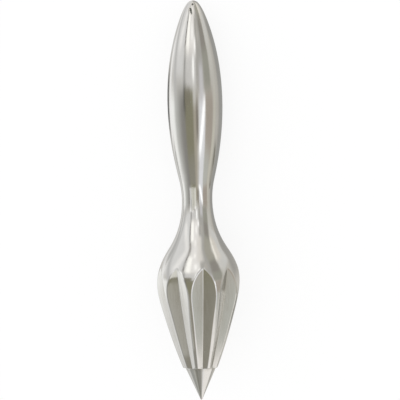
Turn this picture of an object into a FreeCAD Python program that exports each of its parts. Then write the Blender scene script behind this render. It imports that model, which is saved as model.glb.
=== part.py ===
import FreeCAD, Part
import math
import os

# A one-hand citrus reamer, in millimetres.
# It is drawn along its own axis, from the point at zero up to the rounded end of the grip,
# and is then laid down on the table, where it rests on its grip and on two ridges of the head.

# Heights along the axis, from the point
nose_height = 13.7
cone_height = 36.5
bulb_height = 49.4
shoulder_height = 64.4
seam_height = 84.8

# Grip: two rises from the seam, its length, and a drop from its end
grip_flare_rise = 8.9
belly_rise = 41.8
grip_length = 85.2
grip_shoulder_drop = 8.4
grip_flare_height = seam_height + grip_flare_rise
belly_height = seam_height + belly_rise
overall_length = seam_height + grip_length
grip_shoulder_height = overall_length - grip_shoulder_drop

# Radii at those heights
nose_radius = 7.45
cone_radius = 15.2
bulb_radius = 17.85
shoulder_radius = 12.6
neck_radius = 6.45
grip_flare_radius = 7.45
belly_radius = 11.7
grip_shoulder_radius = 6.0

# Lean of the outline at those heights, in degrees away from the axis
nose_angle = 22.3
cone_angle = 16.2
shoulder_angle = 34.9
grip_flare_angle = 14.0
grip_shoulder_angle = 20.0

# Rounded end of the grip: its ball, and how far down the side the ball reaches
end_ball_radius = 3.1
end_ball_angle = 53.0

# Tip
tip_base_radius = 6.45
point_radius = 0.4

# Flutes of the head
flute_count = 9
flute_depth = 2.3
flute_bow = 0.74
flute_lip = 0.05
flute_opening_angle = 141.0
flute_end_radius = tip_base_radius + flute_lip

# Joining stud, half in the grip and half in the head
stud_radius = 3.0
stud_length = 30.0
stud_chamfer = 0.5
stud_clearance = 0.05
stud_end_gap = 0.5
stud_bore_radius = stud_radius + stud_clearance
stud_bore_depth = stud_length / 2.0 + stud_end_gap

# Shank of the pointed tip, pressed into the nose of the head
shank_radius = 2.5
shank_length = 14.0
shank_chamfer = 0.4
shank_clearance = 0.03
shank_end_gap = 0.5
shank_bore_radius = shank_radius + shank_clearance
shank_bore_depth = shank_length + shank_end_gap

# Edges and drilled holes
mouth_chamfer = 0.3
drill_point_angle = 118.0
drill_slope = 1.0 / math.tan(math.radians(drill_point_angle / 2.0))

# Laying down: the steepest lean that is tried, in degrees, how often, and how finely
steepest_rest_angle = 15.0
rest_tries = 40
rest_fineness = 0.02


def point(radius, height):
    """A point of an outline, in the plane that is spun about the axis."""
    return FreeCAD.Vector(radius, 0.0, height)


def line(start, end):
    """A straight edge of an outline."""
    return Part.makeLine(start, end)


def spun(edges):
    """The solid that a closed outline makes when it is spun about the axis."""
    face = Part.Face(Part.Wire(edges))
    return face.revolve(FreeCAD.Vector(0, 0, 0), FreeCAD.Vector(0, 0, 1), 360)


def uphill(angle):
    """The direction that goes up the outline, the angle being how much it opens away from the axis."""
    return FreeCAD.Vector(math.sin(math.radians(angle)), 0.0, math.cos(math.radians(angle)))


def arc(start, direction, end):
    """The arc that leaves its start in a direction and reaches its end."""
    chord = end - start
    across = FreeCAD.Vector(direction.z, 0.0, -direction.x)
    reach = chord.dot(chord) / (2.0 * chord.dot(across))
    centre = start + across * reach
    halfway = ((start + end) * 0.5 - centre).normalize()
    return Part.Arc(start, centre + halfway * abs(reach), end).toShape()


def blend(start, first, end, last):
    """Two arcs that join two places smoothly, each place being left or reached in its direction."""
    chord = end - start
    both = first + last
    turn = 2.0 * (1.0 - first.dot(last))
    along = chord.dot(both)
    handle = (math.sqrt(along * along + turn * chord.dot(chord)) - along) / turn
    join = (start + end + (first - last) * handle) * 0.5
    to_join = (join - start).normalize()
    at_join = to_join * (2.0 * first.dot(to_join)) - first
    return [arc(start, first, join), arc(join, at_join, end)]


def smooth_outline(places):
    """Arcs through places that are each a point and the direction of the outline there."""
    edges = []
    for (start, first), (end, last) in zip(places, places[1:]):
        edges += blend(start, first, end, last)
    return edges


def polyline(points):
    """Straight edges from each point to the next."""
    return [line(a, b) for a, b in zip(points, points[1:])]


def grip_outline():
    """The outer edges of the grip, from the neck up to the end on the axis."""
    ball = math.radians(end_ball_angle)
    ball_centre = overall_length - end_ball_radius
    ball_edge = point(end_ball_radius * math.sin(ball), ball_centre + end_ball_radius * math.cos(ball))
    at_ball = uphill(end_ball_angle - 90.0)
    edges = smooth_outline([
        (point(neck_radius, seam_height), uphill(0.0)),
        (point(grip_flare_radius, grip_flare_height), uphill(grip_flare_angle)),
        (point(belly_radius, belly_height), uphill(0.0)),
        (point(grip_shoulder_radius, grip_shoulder_height), uphill(-grip_shoulder_angle)),
        (ball_edge, at_ball),
    ])
    return edges + [arc(ball_edge, at_ball, point(0.0, overall_length))]


def head_outline():
    """The outer edges of the head before it is fluted, from the nose up to the neck."""
    return smooth_outline([
        (point(nose_radius, nose_height), uphill(nose_angle)),
        (point(cone_radius, cone_height), uphill(cone_angle)),
        (point(bulb_radius, bulb_height), uphill(0.0)),
        (point(shoulder_radius, shoulder_height), uphill(-shoulder_angle)),
        (point(neck_radius, seam_height), uphill(0.0)),
    ])


def blind_bore(radius, mouth, depth, direction):
    """The metal taken out by a drilled hole with a chamfered mouth.

    The direction is 1 for a hole that goes up from its mouth and -1 for one that goes down."""
    bottom = mouth + direction * depth
    drill_tip = bottom + direction * radius * drill_slope
    mouth_in = mouth + direction * mouth_chamfer
    outline = [
        point(0.0, mouth),
        point(radius + mouth_chamfer, mouth),
        point(radius, mouth_in),
        point(radius, bottom),
        point(0.0, drill_tip),
        point(0.0, mouth),
    ]
    return spun(polyline(outline))


def grip():
    """The spindle-shaped grip, with the stud's hole in its lower end."""
    sides = polyline([point(0.0, overall_length), point(0.0, seam_height), point(neck_radius, seam_height)])
    body = spun(grip_outline() + sides)
    return body.cut(blind_bore(stud_bore_radius, seam_height, stud_bore_depth, 1))


def flute_cutter():
    """A wedge that is bent along the floor of one flute, on the side of the head that faces +Y."""
    deep = FreeCAD.Vector(0, bulb_radius - flute_depth, bulb_height)
    end = FreeCAD.Vector(0, flute_end_radius, nose_height)
    chord = deep - end
    out_of_floor = FreeCAD.Vector(0, chord.z, -chord.y).normalize()
    bend_radius = chord.Length ** 2 / (8.0 * flute_bow) + flute_bow / 2.0
    bend_centre = (deep + end) * 0.5 + out_of_floor * (flute_bow - bend_radius)
    floor = bend_centre + out_of_floor * bend_radius
    rim = floor + out_of_floor * bulb_radius
    half_width = bulb_radius * math.tan(math.radians(flute_opening_angle / 2.0))
    sideways = FreeCAD.Vector(half_width, 0, 0)
    section = Part.Face(Part.makePolygon([floor, rim + sideways, rim - sideways, floor]))
    half_turn = math.degrees(chord.Length / bend_radius)
    start = section.rotated(bend_centre, FreeCAD.Vector(1, 0, 0), half_turn)
    return start.revolve(bend_centre, FreeCAD.Vector(-1, 0, 0), 2.0 * half_turn)


def reamer_head():
    """The fluted head, with the stud's hole in its neck and the shank's hole in its nose."""
    sides = polyline([
        point(neck_radius, seam_height),
        point(0.0, seam_height),
        point(0.0, nose_height),
        point(nose_radius, nose_height),
    ])
    body = spun(head_outline() + sides)
    cutter = flute_cutter()
    origin = FreeCAD.Vector(0, 0, 0)
    axis = FreeCAD.Vector(0, 0, 1)
    step = 360.0 / flute_count
    body = body.cut([cutter.rotated(origin, axis, step * n) for n in range(flute_count)])
    body = body.cut(blind_bore(stud_bore_radius, seam_height, stud_bore_depth, -1))
    return body.cut(blind_bore(shank_bore_radius, nose_height, shank_bore_depth, 1))


def joining_stud():
    """The plain stud that holds the grip and the head in line."""
    low = seam_height - stud_length / 2.0
    high = seam_height + stud_length / 2.0
    outline = [
        point(0.0, low),
        point(stud_radius - stud_chamfer, low),
        point(stud_radius, low + stud_chamfer),
        point(stud_radius, high - stud_chamfer),
        point(stud_radius - stud_chamfer, high),
        point(0.0, high),
        point(0.0, low),
    ]
    return spun(polyline(outline))


def point_on_ball(angle):
    """A place on the small ball that rounds off the point, by its angle up from the lowest place."""
    return point(point_radius * math.sin(angle), point_radius * (1.0 - math.cos(angle)))


def tip():
    """The pointed cone, turned in one piece with its shank."""
    above_ball = nose_height - point_radius
    reach = math.hypot(tip_base_radius, above_ball)
    half_point_angle = math.atan2(tip_base_radius, above_ball) - math.asin(point_radius / reach)
    ball_angle = math.pi / 2.0 - half_point_angle
    lowest = point(0.0, 0.0)
    on_ball = point_on_ball(ball_angle / 2.0)
    touch = point_on_ball(ball_angle)
    rounding = Part.Arc(lowest, on_ball, touch).toShape()
    shank_top = nose_height + shank_length
    outline = [
        touch,
        point(tip_base_radius, nose_height),
        point(shank_radius, nose_height),
        point(shank_radius, shank_top - shank_chamfer),
        point(shank_radius - shank_chamfer, shank_top),
        point(0.0, shank_top),
        lowest,
    ]
    return spun([rounding] + polyline(outline))


def rest_angle(grip_shape, head_shape):
    """The lean of the axis, in degrees, at which grip and head touch the table together."""
    grip_points = grip_shape.tessellate(rest_fineness)[0]
    head_points = head_shape.tessellate(rest_fineness)[0]
    low = 0.0
    high = steepest_rest_angle
    for _ in range(rest_tries):
        lean = (low + high) / 2.0
        rise = math.cos(math.radians(lean))
        fall = math.sin(math.radians(lean))
        grip_low = min(-p.y * rise - p.z * fall for p in grip_points)
        head_low = min(-p.y * rise - p.z * fall for p in head_points)
        if grip_low > head_low:
            low = lean
        else:
            high = lean
    return (low + high) / 2.0


def laid_down(shapes):
    """The pieces laid on the table: the axis along Y, the point toward -Y, the lowest places at zero."""
    lean = rest_angle(shapes["grip"], shapes["reamer_head"])
    origin = FreeCAD.Vector(0, 0, 0)
    turned = {name: shape.rotated(origin, FreeCAD.Vector(1, 0, 0), -90.0 - lean)
              for name, shape in shapes.items()}
    corners = [p for shape in turned.values() for p in shape.tessellate(rest_fineness)[0]]
    middle = (min(p.y for p in corners) + max(p.y for p in corners)) / 2.0
    move = FreeCAD.Vector(0, -middle, -min(p.z for p in corners))
    return {name: shape.translated(move) for name, shape in turned.items()}


def main():
    """Writes one STEP file for each piece."""
    os.makedirs("parts", exist_ok=True)
    shapes = {
        "grip": grip(),
        "joining_stud": joining_stud(),
        "reamer_head": reamer_head(),
        "tip": tip(),
    }
    for name, shape in laid_down(shapes).items():
        shape.exportStep(os.path.join("parts", name + ".step"))


main()
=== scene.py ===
"""The looks of a polished one-hand citrus reamer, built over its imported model.

The tool lies on a pale floor, point toward -Y and grip toward +Y. Sizes of pieces are in millimetres along and
around the tool's own axis, as a turner would give them, and are laid down into the row frame in metres.
"""
import logging
import math
from dataclasses import dataclass, field
from enum import Enum

import bpy
import numpy as np
from mathutils import Matrix, Vector


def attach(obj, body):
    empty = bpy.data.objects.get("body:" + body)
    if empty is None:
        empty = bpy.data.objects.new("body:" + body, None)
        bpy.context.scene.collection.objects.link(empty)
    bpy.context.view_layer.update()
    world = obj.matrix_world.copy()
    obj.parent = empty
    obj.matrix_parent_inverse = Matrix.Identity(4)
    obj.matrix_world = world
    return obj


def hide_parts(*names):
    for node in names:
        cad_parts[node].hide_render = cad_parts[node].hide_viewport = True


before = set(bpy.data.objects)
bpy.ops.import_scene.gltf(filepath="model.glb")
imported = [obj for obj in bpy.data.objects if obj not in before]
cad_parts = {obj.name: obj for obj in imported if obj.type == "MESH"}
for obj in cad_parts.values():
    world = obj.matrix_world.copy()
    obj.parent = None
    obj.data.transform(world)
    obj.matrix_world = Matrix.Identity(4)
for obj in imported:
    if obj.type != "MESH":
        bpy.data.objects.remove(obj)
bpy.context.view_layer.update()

LOG = logging.getLogger("citrus_reamer")
Colour = tuple[float, float, float]


class Slot(Enum):
    """The record's material slots."""

    POLISHED = "polished_metal"
    STUD = "stud_steel"


# ---------------------------------------------------------------- outlines and the tool's axis


@dataclass(frozen=True)
class Station:
    """A place on an outline: height and radius in millimetres, and lean away from the axis in degrees."""

    height: float
    radius: float
    lean: float

    def place(self) -> np.ndarray:
        """The place as (radius, height)."""
        return np.array([self.radius, self.height])

    def heading(self) -> np.ndarray:
        """The unit direction in which the outline passes the place, going up."""
        lean = math.radians(self.lean)
        return np.array([math.sin(lean), math.cos(lean)])


def flowing_line(stations: list[Station], spacing: float) -> np.ndarray:
    """A line that passes each station in its own direction.

    Args:
        stations: the places, from the lowest to the highest.
        spacing: the distance between points of the line, in millimetres.

    Returns:
        An array of (radius, height) rows.
    """
    pieces: list[np.ndarray] = []
    for low, high in zip(stations, stations[1:]):
        chord = float(np.linalg.norm(high.place() - low.place()))
        turn = math.radians(abs(high.lean - low.lean))
        pull = chord / math.cos(turn / 4.0) ** 2
        t = np.linspace(0.0, 1.0, max(int(chord / spacing), 2), endpoint=False)[:, None]
        pieces.append(
            (2 * t**3 - 3 * t**2 + 1) * low.place()
            + (t**3 - 2 * t**2 + t) * low.heading() * pull
            + (-2 * t**3 + 3 * t**2) * high.place()
            + (t**3 - t**2) * high.heading() * pull
        )
    pieces.append(stations[-1].place()[None, :])
    return np.concatenate(pieces)


def evenly_spaced(line: np.ndarray, spacing: float) -> np.ndarray:
    """The same line with its points at even distances.

    Args:
        line: rows of (radius, height).
        spacing: the distance wanted, in millimetres.

    Returns:
        The new rows, which keep both ends.
    """
    steps = np.linalg.norm(np.diff(line, axis=0), axis=1)
    along = np.concatenate([[0.0], np.cumsum(steps)])
    wanted = np.linspace(0.0, along[-1], int(along[-1] / spacing) + 1)
    return np.stack([np.interp(wanted, along, line[:, k]) for k in range(2)], axis=1)


def eased(line: np.ndarray, spacing: float, reach: float) -> np.ndarray:
    """The line with its changes of curvature eased, as a buffing wheel leaves them.

    Past its last point the line is mirrored across the axis, so that the end stays round, and before its
    first point it goes straight on.

    Args:
        line: evenly spaced rows of (radius, height), the last one on the axis.
        spacing: the distance between the rows.
        reach: how far the easing reaches, in millimetres.

    Returns:
        The eased rows.
    """
    count = int(3.0 * reach / spacing)
    offsets = np.arange(-count, count + 1)
    weights = np.exp(-0.5 * (offsets * spacing / reach) ** 2)
    weights /= weights.sum()
    before = line[0] + (line[0] - line[1]) * np.arange(count, 0, -1)[:, None]
    after = line[-2 : -2 - count : -1] * np.array([-1.0, 1.0])
    longer = np.concatenate([before, line, after])
    result = np.stack([np.convolve(longer[:, k], weights, "valid") for k in range(2)], axis=1)
    result[0] = line[0]
    result[-1, 0] = 0.0
    return result


@dataclass(frozen=True)
class ToolAxis:
    """Where the tool's own axis lies in the row frame.

    Angles around the axis are measured from the top of the tool, as it lies, toward +X.
    """

    point: Vector
    along: Vector
    up: Vector
    side: Vector

    @classmethod
    def from_frame(cls, seam_height: float) -> "ToolAxis":
        """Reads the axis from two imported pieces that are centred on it.

        Args:
            seam_height: how far the middle of the joining stud is from the point, in millimetres.

        Returns:
            The axis, with its point at the tool's own point.
        """
        seam = centre_of("joining_stud")
        low = centre_of("tip")
        along = (seam - low).normalized()
        side = Vector((1.0, 0.0, 0.0))
        up = side.cross(along).normalized()
        return cls(seam - along * (seam_height * 0.001), along, up, side)

    def lay(self, radius: np.ndarray, angle: np.ndarray, height: np.ndarray) -> np.ndarray:
        """Puts places given around the axis into the row frame.

        Args:
            radius: distances from the axis, in millimetres.
            angle: angles from the top toward +X, in radians.
            height: distances from the point, in millimetres.

        Returns:
            Rows of x, y and z in metres.
        """
        radius, angle, height = np.broadcast_arrays(radius, angle, height)
        out = np.cos(angle)[..., None] * np.array(self.up) + np.sin(angle)[..., None] * np.array(self.side)
        rows = radius[..., None] * out + height[..., None] * np.array(self.along)
        return rows * 0.001 + np.array(self.point)

    def facing(self, angle: float) -> Vector:
        """The unit direction straight out of the axis at an angle in degrees from the top."""
        turn = math.radians(angle)
        return (self.up * math.cos(turn) + self.side * math.sin(turn)).normalized()


def centre_of(node: str) -> Vector:
    """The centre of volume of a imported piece.

    Args:
        node: the piece's name.

    Returns:
        Its centre in the row frame, in metres.
    """
    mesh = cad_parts[node].data
    mesh.calc_loop_triangles()
    corners = np.empty(len(mesh.vertices) * 3)
    mesh.vertices.foreach_get("co", corners)
    corners = corners.reshape(-1, 3)
    picks = np.empty(len(mesh.loop_triangles) * 3, dtype=np.int32)
    mesh.loop_triangles.foreach_get("vertices", picks)
    a, b, c = (corners[picks.reshape(-1, 3)[:, k]] for k in range(3))
    volume = np.einsum("ij,ij->i", a, np.cross(b, c)) / 6.0
    middle = ((a + b + c) / 4.0 * volume[:, None]).sum(axis=0) / volume.sum()
    return Vector(middle)


# ---------------------------------------------------------------- meshes


@dataclass
class Skin:
    """A closed skin of rings around the tool's axis.

    Attributes:
        columns: how many places each ring has.
        rings: the rings, from the lowest to the highest, each with a radius and a height per column.
        hollow: for each ring and column, how deep it lies in a hollow, from 0 to 1, where shade is painted,
        and up to 2 in a pit, which is painted near black as its shade.
    """

    columns: int
    rings: list[tuple[np.ndarray, np.ndarray]] = field(default_factory=list)
    hollow: list[np.ndarray] = field(default_factory=list)

    def angles(self) -> np.ndarray:
        """The columns' angles, in radians."""
        return np.arange(self.columns) * (2.0 * math.pi / self.columns)

    def add(self, radius: np.ndarray | float, height: np.ndarray | float, hollow: np.ndarray | float = 0.0) -> None:
        """Adds a ring above the last one.

        Args:
            radius: one radius, or one for each column.
            height: one height, or one for each column.
            hollow: how deep the ring lies in a hollow.
        """
        even = np.ones(self.columns)
        self.rings.append((radius * even, height * even))
        self.hollow.append(hollow * even)

    def build(self, name: str, axis: ToolAxis) -> bpy.types.Object:
        """Makes the mesh, closed at both ends by a fan.

        Args:
            name: the new piece's name.
            axis: where the tool lies.

        Returns:
            The new object, in the scene.
        """
        angles = self.angles()
        rows = [axis.lay(radius, angles, height) for radius, height in self.rings]
        middles = [heights.mean() for heights in (self.rings[0][1], self.rings[-1][1])]
        ends = [axis.lay(np.zeros(1), np.zeros(1), np.array([middle])) for middle in middles]
        points = np.concatenate(rows + ends)
        n = self.columns
        faces: list[tuple[int, ...]] = []
        for ring in range(len(self.rings) - 1):
            for k in range(n):
                m = (k + 1) % n
                faces.append((ring * n + k, ring * n + m, (ring + 1) * n + m, (ring + 1) * n + k))
        bottom = len(points) - 2
        last = (len(self.rings) - 1) * n
        for k in range(n):
            m = (k + 1) % n
            faces.append((bottom, m, k))
            faces.append((bottom + 1, last + k, last + m))
        mesh = bpy.data.meshes.new(name)
        mesh.from_pydata(points.tolist(), [], faces)
        mesh.polygons.foreach_set("use_smooth", [True] * len(faces))
        depth = mesh.attributes.new("hollow", "FLOAT", "POINT")
        depth.data.foreach_set("value", np.concatenate(self.hollow + [np.zeros(2)]))
        mesh.update()
        piece = bpy.data.objects.new(name, mesh)
        bpy.context.scene.collection.objects.link(piece)
        return piece


# ---------------------------------------------------------------- node helpers and shared effects


class Graph:
    """A short hand for laying out nodes in one tree."""

    def __init__(self, tree: bpy.types.NodeTree) -> None:
        """Takes over a tree and empties it."""
        self.tree = tree
        tree.nodes.clear()

    def add(self, kind: str, **settings: object) -> bpy.types.Node:
        """Adds a node.

        Args:
            kind: the node's type, without its ShaderNode prefix if it has that.
            settings: properties of the node to set.

        Returns:
            The node.
        """
        full = kind if kind.startswith("Node") else "ShaderNode" + kind
        node = self.tree.nodes.new(full)
        for name, value in settings.items():
            setattr(node, name, value)
        return node

    def feed(self, socket: bpy.types.NodeSocket, value: object) -> None:
        """Links an output to an input, or writes a plain value on it.

        Args:
            socket: the input.
            value: an output socket, a number or a tuple.
        """
        if isinstance(value, bpy.types.NodeSocket):
            self.tree.links.new(value, socket)
        else:
            socket.default_value = value

    def end(self, kind: str, surface: object) -> None:
        """Ends the tree in an output node of a kind, fed with a surface's or a background's socket."""
        self.feed(self.add(kind).inputs["Surface"], surface)

    def blend(self, share: object, first: object, second: object) -> bpy.types.NodeSocket:
        """A mix of two shaders, the second by its share."""
        node = self.add("MixShader")
        for socket, value in zip(node.inputs, (share, first, second)):
            self.feed(socket, value)
        return node.outputs[0]

    def metal(self, colour: object, roughness: object, height: object, distance: float) -> None:
        """Ends a material as bare metal.

        Args:
            colour: its colour.
            roughness: its roughness.
            height: the height of its surface's relief.
            distance: what a height of one stands for, in metres.
        """
        shader = self.add("BsdfPrincipled")
        bump = self.add("Bump")
        bump.inputs["Distance"].default_value = distance
        self.feed(bump.inputs["Height"], height)
        shader.inputs["Metallic"].default_value = 1.0
        for name, value in (("Base Color", colour), ("Roughness", roughness), ("Normal", bump.outputs[0])):
            self.feed(shader.inputs[name], value)
        self.end("OutputMaterial", shader.outputs[0])

    def math(self, operation: str, *values: object, clamp: bool = False) -> bpy.types.NodeSocket:
        """A Math node's result.

        Args:
            operation: the node's operation.
            values: its inputs, in order.
            clamp: whether to hold the result from 0 to 1.

        Returns:
            The result's socket.
        """
        node = self.add("Math", operation=operation, use_clamp=clamp)
        for socket, value in zip(node.inputs, values):
            self.feed(socket, value)
        return node.outputs[0]

    def times(self, first: object, second: object) -> bpy.types.NodeSocket:
        """Two values' product."""
        return self.math("MULTIPLY", first, second)

    def vector(self, operation: str, *values: object) -> bpy.types.NodeSocket:
        """A Vector Math node's result, a number for a dot product and a vector otherwise."""
        node = self.add("VectorMath", operation=operation)
        for socket, value in zip(node.inputs, values):
            self.feed(socket, value)
        return node.outputs["Value" if operation == "DOT_PRODUCT" else "Vector"]

    def mix(self, factor: object, first: object, second: object) -> bpy.types.NodeSocket:
        """A colour between two others.

        Args:
            factor: 0 for the first colour, 1 for the second.
            first: a socket or an RGB tuple.
            second: a socket or an RGB tuple.

        Returns:
            The mixed colour's socket.
        """
        node = self.add("Mix", data_type="RGBA")
        for index, value in zip((0, 6, 7), (factor, first, second)):
            if isinstance(value, tuple):
                value = (*value, 1.0)
            self.feed(node.inputs[index], value)
        return node.outputs[2]

    def span(self, value: object, low: object, high: object) -> bpy.types.NodeSocket:
        """A value's place between two others, as 0 to 1, with a soft start and end.

        Args:
            value: the value.
            low: what gives 0.
            high: what gives 1.

        Returns:
            The place's socket.
        """
        node = self.add("MapRange", interpolation_type="SMOOTHSTEP")
        for index, item in zip((0, 1, 2), (value, low, high)):
            self.feed(node.inputs[index], item)
        return node.outputs[0]

    def noise(
        self, vector: object, scale: float, detail: float = 2.0, roughness: float = 0.5
    ) -> bpy.types.NodeSocket:
        """A noise texture's value.

        Args:
            vector: the coordinates.
            scale: how many features fit in a metre.
            detail: how many finer layers are added.
            roughness: how strong those are.

        Returns:
            The value's socket.
        """
        node = self.add("TexNoise")
        self.feed(node.inputs["Vector"], vector)
        self.feed(node.inputs["Scale"], scale)
        self.feed(node.inputs["Detail"], detail)
        self.feed(node.inputs["Roughness"], roughness)
        return node.outputs[0]


def new_group(name: str, inputs: dict[str, object], outputs: tuple[str, ...]) -> tuple[Graph, dict, dict]:
    """Starts a shader node group.

    Args:
        name: the group's name.
        inputs: names and starting values; a tuple of three makes a vector, a number makes a value.
        outputs: the names of the numbers that it gives.

    Returns:
        The group's graph, its input sockets by name, and the end sockets to feed by name.
    """
    tree = bpy.data.node_groups.new(name, "ShaderNodeTree")
    for label, value in inputs.items():
        kind = "NodeSocketVector" if isinstance(value, tuple) else "NodeSocketFloat"
        tree.interface.new_socket(label, in_out="INPUT", socket_type=kind).default_value = value
    for label in outputs:
        tree.interface.new_socket(label, in_out="OUTPUT", socket_type="NodeSocketFloat")
    graph = Graph(tree)
    start = graph.add("NodeGroupInput")
    end = graph.add("NodeGroupOutput")
    return graph, {s.name: s for s in start.outputs if s.name}, {s.name: s for s in end.inputs if s.name}


def new_material(name: str) -> tuple[bpy.types.Material, Graph]:
    """Starts a material.

    Args:
        name: the material's name.

    Returns:
        The material and its graph.
    """
    made = bpy.data.materials.new(name)
    made.use_nodes = True
    return made, Graph(made.node_tree)


def place_group(graph: Graph, group: bpy.types.NodeTree, **values: object) -> bpy.types.Node:
    """Places a group in a tree.

    Args:
        graph: the tree's graph.
        group: the group.
        values: inputs by name, with spaces written as underscores.

    Returns:
        The group's node.
    """
    node = graph.add("Group", node_tree=group)
    for name, value in values.items():
        graph.feed(node.inputs[name.replace("_", " ")], value)
    return node


def buffing_group() -> bpy.types.NodeTree:
    """What a buffing wheel leaves: long shallow waves, fine lines along the tool and a faint haze.

    Returns:
        The group, with Height in millimetres and Haze and Cloud from 0 to 1.
    """
    start = {"Position": (0.0, 0.0, 0.0), "Wave": 0.02, "Line": 0.001}
    graph, given, out = new_group("Buffing", start, ("Height", "Haze", "Cloud"))
    stretched = graph.vector("MULTIPLY", given["Position"], (1.0, 0.25, 1.0))
    wave = graph.math("SUBTRACT", graph.noise(stretched, 70.0, 1.0, 0.4), 0.5)
    fine = graph.vector("MULTIPLY", given["Position"], (1.0, 0.05, 1.0))
    lines = graph.math("SUBTRACT", graph.noise(fine, 1700.0, 2.0, 0.6), 0.5)
    tall = graph.times(wave, given["Wave"])
    small = graph.times(lines, given["Line"])
    graph.feed(out["Height"], graph.math("ADD", tall, small))
    cloud = graph.noise(given["Position"], 120.0, 3.0, 0.55)
    graph.feed(out["Cloud"], graph.span(cloud, 0.35, 0.65))
    streak = graph.noise(fine, 900.0, 2.0, 0.5)
    haze = graph.times(graph.span(streak, 0.4, 0.75), graph.span(cloud, 0.3, 0.7))
    graph.feed(out["Haze"], haze)
    return graph.tree


def wear_and_shade_group() -> bpy.types.NodeTree:
    """A few stray scratches, and painted shade: darker, duller metal in the hollows, and pits painted near black.

    Returns:
        The group, with Scratch, Shade and dull, and Pit shade from 0 to 1.
    """
    start = {"Position": (0.0, 0.0, 0.0), "Hollow": 0.0}
    graph, given, out = new_group("Wear and shade", start, ("Scratch", "Shade and dull", "Pit shade"))
    marks: list[bpy.types.NodeSocket] = []
    for turn, scale in ((0.5, 260.0), (-0.9, 340.0)):
        bent = graph.add("Mapping")
        graph.feed(bent.inputs["Vector"], given["Position"])
        graph.feed(bent.inputs["Rotation"], (turn, turn * 0.6, turn))
        graph.feed(bent.inputs["Scale"], (1.0, 0.12, 1.0))
        cells = graph.add("TexVoronoi", feature="DISTANCE_TO_EDGE")
        graph.feed(cells.inputs["Vector"], bent.outputs[0])
        graph.feed(cells.inputs["Scale"], scale)
        thin = graph.span(cells.outputs["Distance"], 0.012, 0.0)
        gate = graph.span(graph.noise(given["Position"], scale * 0.6), 0.56, 0.66)
        marks.append(graph.times(thin, gate))
    graph.feed(out["Scratch"], graph.math("MAXIMUM", marks[0], marks[1]))
    # painted shade in the hollows, broken into streaks; it also makes the finish there rougher
    drawn = graph.vector("MULTIPLY", given["Position"], (1.0, 0.06, 1.0))
    spread = graph.noise(drawn, 900.0, 2.0, 0.5)
    shade_and_dull = graph.math("MULTIPLY", given["Hollow"], graph.span(spread, -0.1, 1.1), clamp=True)
    graph.feed(out["Shade and dull"], shade_and_dull)
    # painted shade: places past 1, the pits, are painted near black
    graph.feed(out["Pit shade"], graph.span(given["Hollow"], 1.0, 1.7))
    return graph.tree


# ---------------------------------------------------------------- finishes


@dataclass(frozen=True)
class PolishedMetal:
    """Cast metal, ground and then buffed to a mirror, a little grey and warm.

    Attributes:
        name: the material's name.
        bright: the clean metal's colour.
        warm: a warmer grey for the metal's cloudy tone, and for the shade painted in its hollows.
        pit_shade: the near-black shade painted into a pit.
        roughness: how rough the clean mirror is.
        hazy: how rough it is where the buffing left a haze.
        wave: height of the buffing's long waves, in millimetres.
        line: height of its fine lines, in millimetres.
    """

    name: str
    bright: Colour = (0.79, 0.79, 0.775)
    warm: Colour = (0.60, 0.585, 0.54)
    pit_shade: Colour = (0.13, 0.135, 0.125)
    roughness: float = 0.11
    hazy: float = 0.2
    wave: float = 0.03
    line: float = 0.0006

    def material(self, buffing: bpy.types.NodeTree, wear_and_shade: bpy.types.NodeTree) -> bpy.types.Material:
        """Makes the material.

        Args:
            buffing: the buffing group.
            wear_and_shade: the group of scratches and painted shade.

        Returns:
            The material.
        """
        made, graph = new_material(self.name)
        place = graph.add("TexCoord").outputs["Object"]
        depth = graph.add("Attribute", attribute_name="hollow").outputs["Fac"]
        buffed = place_group(graph, buffing, Position=place, Wave=self.wave, Line=self.line)
        worn_and_shade = place_group(graph, wear_and_shade, Position=place, Hollow=depth)
        tint = graph.mix(graph.times(buffed.outputs["Cloud"], 0.12), self.bright, self.warm)
        # painted shade: the hollows are painted in the warmer grey, and the pits near black
        shaded_tint = graph.mix(worn_and_shade.outputs["Shade and dull"], tint, self.warm)
        colour = graph.mix(worn_and_shade.outputs["Pit shade"], shaded_tint, self.pit_shade)
        rough = graph.add("MapRange")
        graph.feed(rough.inputs[0], buffed.outputs["Haze"])
        rough.inputs[3].default_value = self.roughness
        rough.inputs[4].default_value = self.hazy
        marked = graph.math("ADD", rough.outputs[0], graph.times(worn_and_shade.outputs["Scratch"], 0.12))
        rest = graph.math("ADD", marked, graph.times(worn_and_shade.outputs["Shade and dull"], 0.14))
        cut = graph.math("SUBTRACT", buffed.outputs["Height"], graph.times(worn_and_shade.outputs["Scratch"], 0.002))
        graph.metal(colour, rest, cut, 0.001)
        return made


@dataclass(frozen=True)
class TurnedSteel:
    """Plain turned steel, with the rings that the lathe tool leaves, their grooves painted darker as shade.

    Attributes:
        name: the material's name.
        colour: the steel's colour.
        dark: the shade painted into the grooves.
    """

    name: str = "turned_stud_steel"
    colour: Colour = (0.58, 0.58, 0.60)
    dark: Colour = (0.42, 0.42, 0.44)

    def material(self) -> bpy.types.Material:
        """Makes the material."""
        made, graph = new_material(self.name)
        place = graph.add("TexCoord").outputs["Object"]
        flat = graph.vector("MULTIPLY", place, (0.02, 1.0, 0.02))
        rings = graph.noise(flat, 2600.0, 2.0, 0.5)
        rough = graph.math("ADD", graph.times(rings, 0.2), 0.25)
        # painted shade: the low places of the rings, their grooves, take the darker colour
        graph.metal(graph.mix(rings, self.dark, self.colour), rough, rings, 0.00001)
        return made


# ---------------------------------------------------------------- the tool's pieces


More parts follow.
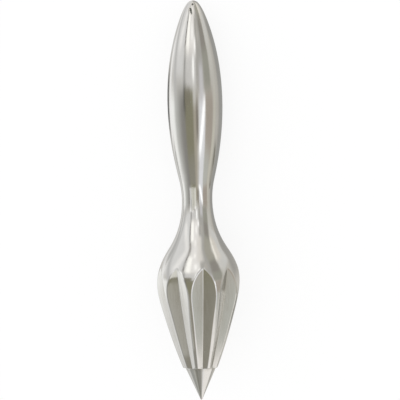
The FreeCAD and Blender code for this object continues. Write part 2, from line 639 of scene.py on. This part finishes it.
@dataclass
class Outline:
    """The tool's outer line, from the nose of its head to the end of its grip.

    Attributes:
        seam_height: where the grip and the head meet, in millimetres up from the point.
        seam_step: the distance between the two rings there, which keep the shading even.
        bore: the radius of the hole there for the stud.
        overall_length: the tool's length.
        spacing: the distance between the line's points.
        easing: how far the buffing wheel eased its curves.
        end_easing: the same at the small ball on the end of the grip.
        end_reach: over how far from the end the one passes into the other.
        stations: places on the line.
    """

    seam_height: float = 84.8
    seam_step: float = 0.02
    bore: float = 3.2
    overall_length: float = 170.0
    spacing: float = 0.1
    easing: float = 1.6
    end_easing: float = 0.3
    end_reach: float = 9.0
    stations: tuple[Station, ...] = (
        Station(13.7, 7.45, 22.3),
        Station(36.5, 15.2, 16.2),
        Station(49.4, 17.85, 0.0),
        Station(64.4, 12.6, -34.9),
        Station(84.8, 6.45, 0.0),
        Station(93.7, 7.45, 14.0),
        Station(126.6, 11.7, 0.0),
        Station(161.6, 6.0, -20.0),
        Station(168.766, 2.476, -37.0),
        Station(170.0, 0.0, -90.0),
    )

    def __post_init__(self) -> None:
        """Draws the line once."""
        rough = evenly_spaced(flowing_line(list(self.stations), self.spacing), self.spacing)
        soft = eased(rough, self.spacing, self.easing)
        crisp = eased(rough, self.spacing, self.end_easing)
        share = np.clip((rough[:, 1] - self.overall_length) / self.end_reach + 1.0, 0.0, 1.0)[:, None]
        share = share * share * (3.0 - 2.0 * share)
        self.line = soft * (1.0 - share) + crisp * share

    def radius(self, height: np.ndarray | float) -> np.ndarray:
        """The radius at a height, or at each of several."""
        return np.interp(height, self.line[:, 1], self.line[:, 0])


class TurnedPiece:
    """A piece that is turned about the tool's axis."""

    def dress(self, piece: bpy.types.Object, material: bpy.types.Material, slot: Slot = Slot.POLISHED) -> None:
        """Gives the new piece its material and its body.

        Args:
            piece: the piece.
            material: its material.
            slot: the record's slot that it takes its finish from; it is not used.
        """
        piece.data.materials.clear()
        piece.data.materials.append(material)
        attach(piece, "root")
        LOG.info("%s: %d faces, %s", piece.name, len(piece.data.polygons), material.name)


@dataclass(frozen=True)
class Dent:
    """A small pit of the casting that the polishing went over.

    Attributes:
        height: its height from the point, in millimetres.
        angle: its angle from the top toward +X, in degrees.
        size: how wide it is, in millimetres.
        depth: how deep it is, in millimetres.
    """

    height: float
    angle: float
    size: float
    depth: float

    def share(self, angles: np.ndarray, radius: float, height: float) -> np.ndarray:
        """How deep each place of a ring lies in the pit, from 0 to 1.

        Args:
            angles: the places' angles from the top, in radians.
            radius: the ring's radius.
            height: the ring's height.

        Returns:
            A share for each place.
        """
        off = (angles - math.radians(self.angle) + math.pi) % (2.0 * math.pi) - math.pi
        away = (off * radius) ** 2 + (height - self.height) ** 2
        return np.exp(-0.5 * away / (self.size * 0.5) ** 2)


@dataclass
class Grip(TurnedPiece):
    """The spindle-shaped grip, from the neck to its rounded end.

    Attributes:
        axis: where the tool lies.
        outline: the tool's outer line.
        columns: how many places go around.
        ring_gap: the distance between rings, in millimetres.
        end_share: the radius of its last ring, as a share of the ring before.
        end_drop: how far that ring lies under the very end, as a share of a ring's distance.
        dents: the pits near its rounded end.
    """

    axis: ToolAxis
    outline: Outline
    columns: int = 192
    ring_gap: float = 0.3
    end_share: float = 0.4
    end_drop: float = 0.16
    dents: tuple[Dent, ...] = (
        Dent(166.2, -4.0, 0.95, 0.14),
        Dent(165.4, 0.0, 1.15, 0.16),
        Dent(164.6, 4.0, 0.95, 0.12),
        Dent(163.9, 7.0, 0.65, 0.08),
        Dent(168.1, 12.0, 1.0, 0.18),
    )

    def build(self) -> bpy.types.Object:
        """Makes the grip's mesh.

        Returns:
            The piece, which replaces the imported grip.
        """
        line = self.outline.line
        seam = self.outline.seam_height
        upper = evenly_spaced(line[line[:, 1] >= seam], self.ring_gap)
        skin = Skin(self.columns)
        skin.add(self.outline.bore, seam)
        for height in (seam, seam + self.outline.seam_step):
            skin.add(self.outline.radius(height), height)
        for radius, height in upper[1:-1]:
            shares = [dent.share(skin.angles(), radius, height) for dent in self.dents]
            depth = sum(dent.depth * share for dent, share in zip(self.dents, shares))
            # a hollow past 1 marks a pit, whose shade the material paints near black
            skin.add(radius - depth, height, 2.0 * np.max(shares, axis=0))
        last, end = upper[-2], upper[-1]
        skin.add(last[0] * self.end_share, end[1] - (end[1] - last[1]) * self.end_drop)
        piece = skin.build("grip_polished", self.axis)
        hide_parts("grip")
        return piece


@dataclass
class Flutes:
    """The V-shaped flutes of the head, as a surface around the axis.

    Attributes:
        count: how many there are.
        depth: how deep the floor lies under the widest place.
        bow: how far the floor bows outward.
        end_radius: the floor's radius at the nose.
        opening: the angle between a flute's two faces, in degrees.
        floor_rounding: how softly the two faces meet, in millimetres.
    """

    count: int = 9
    depth: float = 2.3
    bow: float = 0.74
    end_radius: float = 6.5
    opening: float = 141.0
    floor_rounding: float = 0.12

    def surface(self, angle: np.ndarray, height: np.ndarray, widest: Station, nose: Station) -> np.ndarray:
        """The radius at which the flutes' faces lie.

        Args:
            angle: angles from the top, in radians; a ridge is at the top.
            height: heights from the point.
            widest: the station where the head is widest.
            nose: the station where the flutes end.

        Returns:
            A radius for each angle and height, which may lie outside the head.
        """
        pitch = 2.0 * math.pi / self.count
        off = (angle % pitch) - pitch / 2.0
        top = np.array([widest.radius - self.depth, widest.height])
        end = np.array([self.end_radius, nose.height])
        chord = top - end
        length = float(np.linalg.norm(chord))
        outward = np.array([chord[1], -chord[0]]) / length
        bend = length**2 / (8.0 * self.bow) + self.bow / 2.0
        centre = (top + end) / 2.0 + outward * (self.bow - bend)
        slope = 1.0 / math.tan(math.radians(self.opening / 2.0))
        radius = np.full(np.broadcast(angle, height).shape, widest.radius)
        for _ in range(8):
            across = np.sqrt((radius * np.sin(off)) ** 2 + self.floor_rounding**2) - self.floor_rounding
            reach = bend + across * slope
            radius = (centre[0] + np.sqrt(reach**2 - (height - centre[1]) ** 2)) / np.cos(off)
        return radius


@dataclass
class ReamerHead(TurnedPiece):
    """The flared neck, the round shoulder and the fluted cone.

    Attributes:
        axis: where the tool lies.
        outline: the tool's outer line.
        flutes: the flutes.
        columns: how many places go around, a whole number for each flute.
        edge: how softly the flutes' rims are rounded, in millimetres.
        nose_edge: how far the lower ends of the ridges are rounded.
        nose_steps: how many rings that rounding has.
        full_ridge: how far a ridge stands over the flutes' floor where it is rounded in full.
    """

    axis: ToolAxis
    outline: Outline
    flutes: Flutes = field(default_factory=Flutes)
    columns: int = 432
    edge: float = 0.3
    nose_edge: float = 0.35
    nose_steps: int = 6
    full_ridge: float = 0.9

    def heights(self) -> np.ndarray:
        """The rings' heights, closest where the arches of the flutes end."""
        nose = self.outline.stations[0].height + self.nose_edge
        seam = self.outline.seam_height
        below_arches, above_arches = 40.0, 60.0
        return np.concatenate([
            np.arange(nose, below_arches, 0.5),
            np.arange(below_arches, above_arches, 0.25),
            np.arange(above_arches, seam - 0.3, 0.55),
            [seam - self.outline.seam_step, seam],
        ])

    def radius(self, angle: np.ndarray, height: np.ndarray | float) -> tuple[np.ndarray, np.ndarray]:
        """The head's radius, with its rims rounded.

        Args:
            angle: angles from the top, in radians.
            height: the height of the ring.

        Returns:
            The radius and how deep each place lies under the unfluted head, from 0 to 1.
        """
        whole = self.outline.radius(height) * np.ones_like(angle)
        stations = self.outline.stations
        cut = self.flutes.surface(angle, height * np.ones_like(angle), stations[2], stations[0])
        blend = np.clip(0.5 + 0.5 * (cut - whole) / self.edge, 0.0, 1.0)
        result = cut * (1.0 - blend) + whole * blend - self.edge * blend * (1.0 - blend)
        return result, np.clip((whole - result) / self.flutes.depth, 0.0, 1.0)

    def build(self) -> bpy.types.Object:
        """Makes the head's mesh.

        Returns:
            The piece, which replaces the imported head.
        """
        skin = Skin(self.columns)
        angles = skin.angles()
        nose = self.outline.stations[0].height
        floor = self.flutes.end_radius
        lowest, _ = self.radius(angles, nose + self.nose_edge)
        rounding = self.nose_edge * np.clip((lowest - floor) / self.full_ridge, 0.08, 1.0)
        for inside, lift in ((5.2, 0.02), (5.9, 0.01)):
            skin.add(inside, nose + lift, 1.0)
        low, deep = self.radius(angles, nose + self.nose_edge * 0.5)
        for step in range(self.nose_steps):
            turn = step / self.nose_steps * math.pi / 2.0
            skin.add(low - rounding * (1.0 - math.sin(turn)), nose + rounding * (1.0 - math.cos(turn)), deep)
        # the depth in the flutes sets the shade painted there
        for height in self.heights():
            radius, deep = self.radius(angles, height)
            skin.add(radius, height, deep)
        skin.add(self.outline.bore, self.outline.seam_height)
        piece = skin.build("reamer_head_polished", self.axis)
        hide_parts("reamer_head")
        return piece


@dataclass
class Tip(TurnedPiece):
    """The smooth point below the ridges.

    Attributes:
        axis: where the tool lies.
        base_radius: its radius under the head.
        base_height: the height of the head's nose.
        point_radius: how blunt the point is.
        columns: how many places go around.
        point_steps: how many rings the point's ball has.
        inner_step: how far its flat end goes in under the head.
    """

    axis: ToolAxis
    base_radius: float = 6.45
    base_height: float = 13.7
    point_radius: float = 0.4
    columns: int = 144
    point_steps: int = 6
    inner_step: float = 0.6

    def build(self) -> bpy.types.Object:
        """Makes the tip's mesh.

        Returns:
            The piece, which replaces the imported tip.
        """
        above = self.base_height - self.point_radius
        reach = math.hypot(self.base_radius, above)
        half = math.atan2(self.base_radius, above) - math.asin(self.point_radius / reach)
        skin = Skin(self.columns)
        for step in range(1, self.point_steps + 1):
            skin.add(*self.ball_ring((math.pi / 2.0 - half) * step / self.point_steps))
        first_radius, first_height = self.ball_ring(math.pi / 2.0 - half)
        for part in np.linspace(0.04, 1.0, 44):
            radius = first_radius + (self.base_radius - first_radius) * part
            height = first_height + (self.base_height - first_height) * part
            # the last eighth of the point, under the head's ridges, is painted darker as shade
            skin.add(radius, height, max(part * 8.0 - 7.0, 0.0))
        skin.add(self.base_radius - self.inner_step, self.base_height, 1.0)
        piece = skin.build("tip_polished", self.axis)
        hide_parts("tip")
        return piece

    def ball_ring(self, turn: float) -> tuple[float, float]:
        """A ring on the ball of the point.

        Args:
            turn: how far the ring lies from the very end, around the ball, in radians.

        Returns:
            The ring's radius and height.
        """
        return self.point_radius * math.sin(turn), self.point_radius * (1.0 - math.cos(turn))


def dress_stud(material: bpy.types.Material) -> None:
    """Gives the hidden stud its own finish.

    Args:
        material: the turned steel.
    """
    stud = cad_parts["joining_stud"]
    for held in stud.material_slots:
        held.material = material
    if not stud.material_slots:
        stud.data.materials.append(material)
    LOG.info("joining_stud: %s", material.name)


# ---------------------------------------------------------------- studio


def shown_as(red: float, green: float | None = None, blue: float | None = None) -> Colour:
    """The light that makes the polished metal show a shade.

    Args:
        red: the shade's red, from 0 to 255 as a screen shows it; past 255 it is a brighter light.
        green: its green, or nothing for a grey.
        blue: its blue, or nothing for a grey.

    Returns:
        The light's colour, for metal that gives back about three quarters of it.
    """
    levels = (red, red if green is None else green, red if blue is None else blue)
    linear = [((v / 255.0 + 0.055) / 1.055) ** 2.4 for v in levels]
    return (linear[0] / 0.77, linear[1] / 0.77, linear[2] / 0.76)


@dataclass(frozen=True)
class Card:
    """A soft card in the studio, given by where it stands as the tool sees it.

    Around the tool, across is measured around the tool's axis from the camera toward the right of the picture, and
    rise from the middle of the tool toward the end of its grip, both in degrees. On the floor, across and rise
    are millimetres to the right of the tool's axis and up from its point.

    Attributes:
        across: where its middle is.
        half: half its width.
        side: how soft its sides are.
        low: its lower end.
        high: its upper end.
        end: how soft its ends are.
        shade: the shade that the polished metal shows there, as red, green and blue from 0 to 255.
        skew: how far its middle shifts across for each unit of rise.
        strength: how much it covers what is behind it.
    """

    across: float
    half: float
    side: float
    low: float
    high: float
    end: float
    shade: Colour
    skew: float = 0.0
    strength: float = 1.0


@dataclass(frozen=True)
class Panel:
    """A curved backdrop panel far behind the camera, which only polished metal shows.

    Attributes:
        name: the panel's name.
        radius: how far it stands from the tool's axis, in millimetres.
        card: its place and shade, in degrees around the axis from the camera and millimetres up from the point.
    """

    name: str
    radius: float
    card: Card


@dataclass(frozen=True)
class PatchLamp:
    """A small soft lamp held over the tool, which lifts a patch of its polish from one shade to another.

    Attributes:
        name: the lamp's name.
        radius: how far it is held from the tool's axis, in millimetres.
        across: its angle around the axis from the camera, in degrees.
        half: half the angle that it spans.
        low: the height of its lower edge, in millimetres up from the point.
        high: the height of its upper edge.
        base: the shade that the polish shows without it, from 0 to 255.
        lifted: the shade that it shows with it.
    """

    name: str
    radius: float
    across: float
    half: float
    low: float
    high: float
    base: float
    lifted: float

    def light(self) -> Colour:
        """The light that it adds."""
        return tuple(more - less for more, less in zip(shown_as(self.lifted), shown_as(self.base)))


def show_in_polish_only(held: bpy.types.Object) -> None:
    """Hides a lamp or a panel from all but glossy rays."""
    held.visible_camera = False
    held.visible_diffuse = False
    held.visible_transmission = False


def card_group() -> bpy.types.NodeTree:
    """The mask of one studio card.

    Returns:
        The group, with Mask from 0 to 1.
    """
    start = {"Across": 0.0, "Rise": 0.0, "Middle": 0.0, "Half": 10.0, "Side": 2.0,
             "Low": -90.0, "High": 90.0, "End": 2.0, "Skew": 0.0, "Strength": 1.0}
    graph, given, out = new_group("Studio card", start, ("Mask",))
    middle = graph.math("ADD", given["Middle"], graph.times(given["Skew"], given["Rise"]))
    away = graph.math("ABSOLUTE", graph.math("SUBTRACT", given["Across"], middle))
    outer = graph.math("ADD", given["Half"], given["Side"])
    inner = graph.math("SUBTRACT", given["Half"], given["Side"])
    across = graph.span(away, outer, inner)
    over = graph.span(given["Rise"], graph.math("SUBTRACT", given["Low"], given["End"]),
                      graph.math("ADD", given["Low"], given["End"]))
    under = graph.span(given["Rise"], graph.math("ADD", given["High"], given["End"]),
                       graph.math("SUBTRACT", given["High"], given["End"]))
    both = graph.times(over, under)
    whole = graph.times(across, both)
    graph.feed(out["Mask"], graph.times(whole, given["Strength"]))
    return graph.tree


@dataclass
class Studio:
    """The pale floor, the light around it and the camera.

    Attributes:
        axis: where the tool lies.
        camera_turn: how far the camera stands from the top of the tool toward +X, in degrees.
        camera_roll: how far the grip leans left in the picture, in degrees.
        camera_distance: from the tool to the camera, in metres.
        frame_side: what the picture takes in at the tool, in millimetres.
        aim_height: the place along the tool at the middle of the picture's height.
        aim_side: how far right of the tool's axis the picture's middle lies.
        floor_half: half the floor's side, in metres.
        room: the light between the cards.
        cards: the soft cards around the tool, each over those before it.
        floor_cards: the shadow painted on the floor close to the tool, which only polished metal sees.
        panels: the backdrop panels.
        patch_lamps: the small lamps over the tool.
    """

    axis: ToolAxis
    camera_turn: float = 13.3
    camera_roll: float = 1.264
    camera_distance: float = 0.9
    frame_side: float = 170.24
    aim_height: float = 85.0
    aim_side: float = 1.23
    floor_half: float = 4.0
    room: Colour = shown_as(176, 172, 164)
    cards: tuple[Card, ...] = (
        # low at the left: bright, then grey toward the middle
        Card(-100, 72, 12, -90, 6, 4, (186, 186, 182)),
        Card(-118, 21, 10, -90, 6, 4, (232, 232, 229)),
        Card(-112, 24, 8, -90, -15, 4, (203, 202, 199), strength=0.85),
        Card(-45, 30, 25, -90, 8, 7, (128, 126, 121)),
        # low in the middle: the broad dark strip
        Card(-24, 19, 6, -90, 8, 2, (125, 122, 103)),
        Card(-25, 20, 7, -90, -19, 3, (133, 130, 119)),
        Card(-1, 6, 4, -90, 7, 2, (157, 151, 138)),
        Card(8, 4.5, 3, -13, 3, 4, (116, 110, 100)),
        # right of that: the bright strip, with a brighter slanted line in it
        Card(30.2, 14.3, 4, -90, 4, 4, (212, 212, 214)),
        Card(38, 6, 4, -18, 4, 3, (266, 266, 266), skew=1.05),
        # low at the right: a warm grey, a paler strip, darker behind
        Card(62, 18, 4, -15, 7, 5, (157, 149, 139)),
        Card(58, 15, 4, -90, -17, 4, (173, 173, 166)),
        Card(92.5, 7, 5, -26, 9, 5, (187, 184, 172), skew=0.45),
        Card(107, 12, 8, -12, 20, 6, (175, 172, 165)),
        Card(112, 16, 8, -40, -12, 4, (151, 148, 139)),
        Card(108, 7, 4, -13.5, -8.5, 1.6, (112, 110, 99)),
        Card(150, 32, 12, -40, 60, 8, (149, 147, 143)),
        Card(138, 16, 8, -26, -13, 3, (182, 179, 172)),
        # high at the left and in the middle: pale, with brighter and darker lines
        Card(-112, 62, 6, 10, 90, 6, (206, 205, 203)),
        Card(-129, 9, 8, -8, 19, 7, (230, 229, 227)),
        Card(-85, 8, 7, 4, 42, 4, (180, 179, 177), skew=-1.0),
        Card(-92, 9, 7, 22, 62, 5, (228, 226, 223), skew=0.5),
        Card(-20, 30, 4, 8, 24, 2, (196, 194, 191)),
        Card(-22, 28, 5, 24, 90, 5, (223, 220, 216)),
        Card(-2, 6, 4, 1, 10, 3, (188, 186, 180)),
        Card(-34, 8, 4, 25, 54, 4, (252, 250, 244)),
        Card(-17, 5, 4, 53, 61, 3, (246, 243, 238)),
        Card(-44, 5, 4, -1, 10, 4, (84, 83, 78)),
        Card(-45, 4, 3, 10, 24, 4, (150, 149, 146)),
        Card(-49, 2.9, 2, 26, 62, 4, (98, 96, 92)),
        Card(-48, 6, 4, 54, 68, 3, (148, 145, 140)),
        Card(-5, 4, 3, 11, 23, 3, (254, 254, 251)),
        Card(-10, 5, 3, 32, 42, 3, (245, 243, 239)),
        Card(25, 18, 4, 8, 90, 3, (162, 160, 155)),
        Card(29, 8, 6, 3, 18, 4, (193, 191, 192)),
        Card(5, 5, 3, 25, 33, 3, (252, 250, 247)),
        Card(24, 5, 4, 31, 42, 4, (176, 172, 165)),
        Card(8, 13, 10, 47, 90, 5, (214, 210, 204)),
        # high at the right
        Card(57, 16, 4, 7, 90, 3, (146, 145, 135)),
        Card(54, 14, 4, 24, 43, 4, (136, 132, 125)),
        Card(55, 18, 5, 46, 90, 4, (157, 154, 143)),
        Card(86, 12, 5, 9, 90, 6, (187, 185, 178)),
        Card(79.5, 9, 4, 25, 42, 5, (197, 195, 190)),
        Card(104, 17, 7, 25, 90, 4, (196, 195, 191)),
        Card(62, 16, 5, 38, 66, 4, (206, 201, 192), skew=0.6),
        Card(34, 5, 3, 42, 60, 4, (234, 230, 220), skew=0.95),
        # far past the point: dark at the left, bright at the right
        Card(-35, 55, 25, -90, -42, 2, (134, 132, 125)),
        Card(-70, 9, 6, -90, -41, 2, (164, 163, 156)),
        Card(-44, 6, 5, -90, -44, 2, (116, 116, 106)),
        Card(-100, 20, 10, -60, -32, 3, (146, 146, 141)),
        Card(78, 55, 34, -90, -32, 2, (226, 222, 217)),
        Card(-150, 26, 8, -90, -16, 4, (186, 185, 181)),
    )
    floor_cards: tuple[Card, ...] = (
        # a shadow painted where the tool shades the floor beside itself, seen only by polished metal
        Card(-15, 21, 6, 108, 146, 14, (106, 106, 104)),
        Card(-14, 17, 6, 10, 108, 14, (188, 187, 184)),
        Card(-14, 17, 6, 146, 168, 8, (188, 187, 184)),
        Card(14, 15, 7, 60, 175, 16, (147, 146, 142)),
        Card(18, 22, 6, 0, 56, 8, (184, 181, 174)),
        Card(-58, 18, 8, 78, 102, 8, (168, 168, 166)),
        Card(28, 9, 4, 22, 40, 5, (138, 136, 130)),
    )
    panels: tuple[Panel, ...] = (
        # the upper end of the dark strip is nearer than the rest
        Panel("doorway_backdrop", 744.0, Card(-31.5, 11.5, 4, 140, 237, 20, (119, 115, 100))),
    )
    patch_lamps: tuple[PatchLamp, ...] = (
        PatchLamp("neck_left_lamp", 15.0, -34, 10, 82, 88.2, 128, 184),
        PatchLamp("neck_dim_lamp", 14.7, -21, 3, 82, 88.2, 125, 172),
        PatchLamp("neck_middle_lamp", 14.5, -14.5, 3.5, 82.7, 88.2, 128, 186),
        PatchLamp("neck_right_lamp", 14.5, -8.5, 2.5, 82.7, 88.2, 145, 208),
        PatchLamp("left_flute_lamp", 35.0, -38, 13, 0, 44, 128, 151),
        PatchLamp("left_arch_lamp", 22.0, -38.5, 7.0, 51, 57, 128, 194),
        PatchLamp("right_flute_lamp", 34.0, 81, 8.5, 4, 40, 151, 198),
    )

    def __post_init__(self) -> None:
        """Builds the card mask that the room and the floor share."""
        self.group = card_group()

    def toward_camera(self) -> Vector:
        """The unit direction from the tool to the camera."""
        return self.axis.facing(self.camera_turn)

    def place_camera(self) -> None:
        """Sets up the camera at the photograph's angle."""
        out = self.toward_camera()
        along = self.axis.along
        right = along.cross(out).normalized()
        roll = math.radians(self.camera_roll)
        up = along * math.cos(roll) + right * math.sin(roll)
        side = up.cross(out)
        target = self.axis.point + along * (self.aim_height * 0.001) + right * (self.aim_side * 0.001)
        data = bpy.data.cameras.new("studio_camera")
        data.sensor_width = 36.0
        data.sensor_fit = "AUTO"
        data.angle = 2.0 * math.atan(self.frame_side * 0.0005 / self.camera_distance)
        data.clip_start = 0.01
        data.clip_end = 50.0
        data.dof.use_dof = False
        camera = bpy.data.objects.new("studio_camera", data)
        turned = Matrix((side, up, out)).transposed().to_4x4()
        camera.matrix_world = Matrix.Translation(target + out * self.camera_distance) @ turned
        bpy.context.scene.collection.objects.link(camera)
        bpy.context.scene.camera = camera

    def stand_panels(self) -> None:
        """Stands the backdrop panels up, seen by nothing but polished metal."""
        for panel in self.panels:
            card = panel.card
            wide = card.half + card.side
            angles = np.radians(self.camera_turn + card.across + np.linspace(-wide, wide, 25))
            lower = self.axis.lay(panel.radius, angles, card.low - card.end)
            upper = self.axis.lay(panel.radius, angles, card.high + card.end)
            count = len(angles)
            faces = [(k, k + 1, count + k + 1, count + k) for k in range(count - 1)]
            mesh = bpy.data.meshes.new(panel.name)
            mesh.from_pydata(np.concatenate([lower, upper]).tolist(), [], faces)
            stood = bpy.data.objects.new(panel.name, mesh)
            bpy.context.scene.collection.objects.link(stood)
            show_in_polish_only(stood)
            stood.visible_shadow = False
            mesh.materials.append(self.panel_material(panel))

    def hang_lamps(self) -> None:
        """Hangs the small lamps over the tool."""
        along = self.axis.along
        for lamp in self.patch_lamps:
            out = self.axis.facing(self.camera_turn + lamp.across)
            middle = self.axis.point + (out * lamp.radius + along * ((lamp.low + lamp.high) / 2.0)) * 0.001
            data = bpy.data.lights.new(lamp.name, "AREA")
            data.shape = "RECTANGLE"
            data.size = 2.0 * math.tan(math.radians(lamp.half)) * lamp.radius * 0.001
            data.size_y = (lamp.high - lamp.low) * 0.001
            data.energy = 4.0 * data.size * data.size_y
            data.color = lamp.light()
            held = bpy.data.objects.new(lamp.name, data)
            turned = Matrix((along.cross(out), along, out)).transposed().to_4x4()
            held.matrix_world = Matrix.Translation(middle) @ turned
            bpy.context.scene.collection.objects.link(held)
            show_in_polish_only(held)

    def around(self, graph: Graph, direction: object) -> tuple[object, object]:
        """Measures a direction around the tool's axis.

        Args:
            graph: the tree's graph.
            direction: the socket of the direction, or of a place relative to the tool's point.

        Returns:
            The sockets of the angle from the camera toward the right, in degrees, and of the part along the axis.
        """
        out = self.toward_camera()
        right = self.axis.along.cross(out).normalized()
        ahead = graph.vector("DOT_PRODUCT", direction, tuple(out))
        beside = graph.vector("DOT_PRODUCT", direction, tuple(right))
        turn = graph.times(graph.math("ARCTAN2", beside, ahead), 180.0 / math.pi)
        return turn, graph.vector("DOT_PRODUCT", direction, tuple(self.axis.along))

    def panel_material(self, panel: Panel) -> bpy.types.Material:
        """The soft-edged glow of a backdrop panel.

        Args:
            panel: the panel.

        Returns:
            The material.
        """
        made, graph = new_material(panel.name)
        place = graph.vector("SUBTRACT", graph.add("TexCoord").outputs["Object"], tuple(self.axis.point))
        turn, along = self.around(graph, place)
        _, mask = self.lay_cards(graph, (panel.card,), turn, graph.times(along, 1000.0), self.room)
        glow = graph.add("Emission")
        glow.inputs["Color"].default_value = (*shown_as(*panel.card.shade), 1.0)
        both = graph.blend(mask, graph.add("BsdfTransparent").outputs[0], glow.outputs[0])
        graph.end("OutputMaterial", both)
        return made

    def lay_cards(
        self, graph: Graph, cards: tuple[Card, ...], across: object, rise: object, back: Colour
    ) -> tuple[object, object]:
        """Lays cards over a plain colour, one after the other.

        Args:
            graph: the tree's graph.
            cards: the cards.
            across: the socket that tells where across a place lies.
            rise: the socket that tells how far up it lies.
            back: the colour behind them all.

        Returns:
            The sockets of the whole painting and of how much of it the cards cover, from 0 to 1.
        """
        colour: object = back
        covered: object = 0.0
        for card in cards:
            placed = place_group(graph, self.group, Across=across, Rise=rise, Middle=float(card.across),
                                 Half=float(card.half), Side=float(card.side), Low=float(card.low),
                                 High=float(card.high), End=float(card.end), Skew=card.skew,
                                 Strength=card.strength)
            colour = graph.mix(placed.outputs["Mask"], colour, shown_as(*card.shade))
            covered = graph.math("MAXIMUM", covered, placed.outputs["Mask"])
        return colour, covered

    def light_room(self) -> None:
        """Paints the light that surrounds the tool: plain for matt things, cards for polished ones."""
        world = bpy.data.worlds.new("studio_light")
        bpy.context.scene.world = world
        world.use_nodes = True
        graph = Graph(world.node_tree)
        turn, above = self.around(graph, graph.add("TexCoord").outputs["Generated"])
        rise = graph.times(graph.math("ARCSINE", above), 180.0 / math.pi)
        colour, _ = self.lay_cards(graph, self.cards, turn, rise, self.room)
        rays = graph.add("LightPath")
        matt = graph.mix(rays.outputs["Is Glossy Ray"], (0.95, 0.95, 0.95), colour)
        shown = graph.mix(rays.outputs["Is Camera Ray"], matt, (1.0, 1.0, 1.0))
        back = graph.add("Background")
        graph.feed(back.inputs["Color"], shown)
        graph.end("OutputWorld", back.outputs[0])

    def lay_floor(self) -> None:
        """Lays the pale floor, which shows white and keeps a soft shadow.

        Polished metal sees it only close to the tool, where a shadow is painted on it, and the room's light past
        that.
        """
        mesh = bpy.data.meshes.new("studio_floor")
        half = self.floor_half
        corners = [(-half, -half, 0), (half, -half, 0), (half, half, 0), (-half, half, 0)]
        mesh.from_pydata(corners, [], [(0, 1, 2, 3)])
        floor = bpy.data.objects.new("studio_floor", mesh)
        floor.location.z = -0.00002
        bpy.context.scene.collection.objects.link(floor)
        made, graph = new_material("pale_floor")
        place = graph.add("TexCoord").outputs["Object"]
        rays = graph.add("LightPath")
        matt = graph.add("BsdfDiffuse")
        grain = graph.noise(place, 900.0, 3.0, 0.5)
        graph.feed(matt.inputs["Color"], graph.mix(grain, (0.86, 0.86, 0.86), (0.90, 0.90, 0.90)))
        millimetres = graph.vector("SCALE", graph.vector("SUBTRACT", place, tuple(self.axis.point)))
        millimetres.node.inputs["Scale"].default_value = 1000.0
        parts = graph.add("SeparateXYZ")
        graph.feed(parts.inputs[0], millimetres)
        # painted shadow: glossy rays see these shades near the tool instead of the lit floor
        shaded, near = self.lay_cards(graph, self.floor_cards, parts.outputs["X"], parts.outputs["Y"], self.room)
        seen = graph.mix(rays.outputs["Is Glossy Ray"], (1.05, 1.05, 1.05), shaded)
        glow = graph.add("Emission")
        graph.feed(glow.inputs["Color"], seen)
        plain = graph.math("MAXIMUM", rays.outputs["Is Camera Ray"], rays.outputs["Is Transmission Ray"])
        share = graph.math("MAXIMUM", graph.times(plain, 0.8), rays.outputs["Is Glossy Ray"])
        both = graph.blend(share, matt.outputs[0], glow.outputs[0])
        away = graph.times(rays.outputs["Is Glossy Ray"], graph.math("SUBTRACT", 1.0, near))
        graph.end("OutputMaterial", graph.blend(away, both, graph.add("BsdfTransparent").outputs[0]))
        mesh.materials.append(made)

    def set_picture(self) -> None:
        """Sets the plain view transform."""
        bpy.context.scene.view_settings.view_transform = "Standard"


def main() -> None:
    """Builds and dresses the pieces, then the studio around them."""
    logging.basicConfig(level=logging.INFO, format="%(name)s: %(message)s")
    outline = Outline()
    axis = ToolAxis.from_frame(outline.seam_height)
    buffing = buffing_group()
    wear_and_shade = wear_and_shade_group()
    metal = PolishedMetal("polished_cast_metal").material(buffing, wear_and_shade)
    for maker in (Grip(axis, outline), ReamerHead(axis, outline), Tip(axis)):
        maker.dress(maker.build(), metal)
    dress_stud(TurnedSteel().material())
    studio = Studio(axis)
    studio.lay_floor()
    studio.light_room()
    studio.stand_panels()
    studio.hang_lamps()
    studio.place_camera()
    studio.set_picture()


if __name__ == "__main__":
    main()
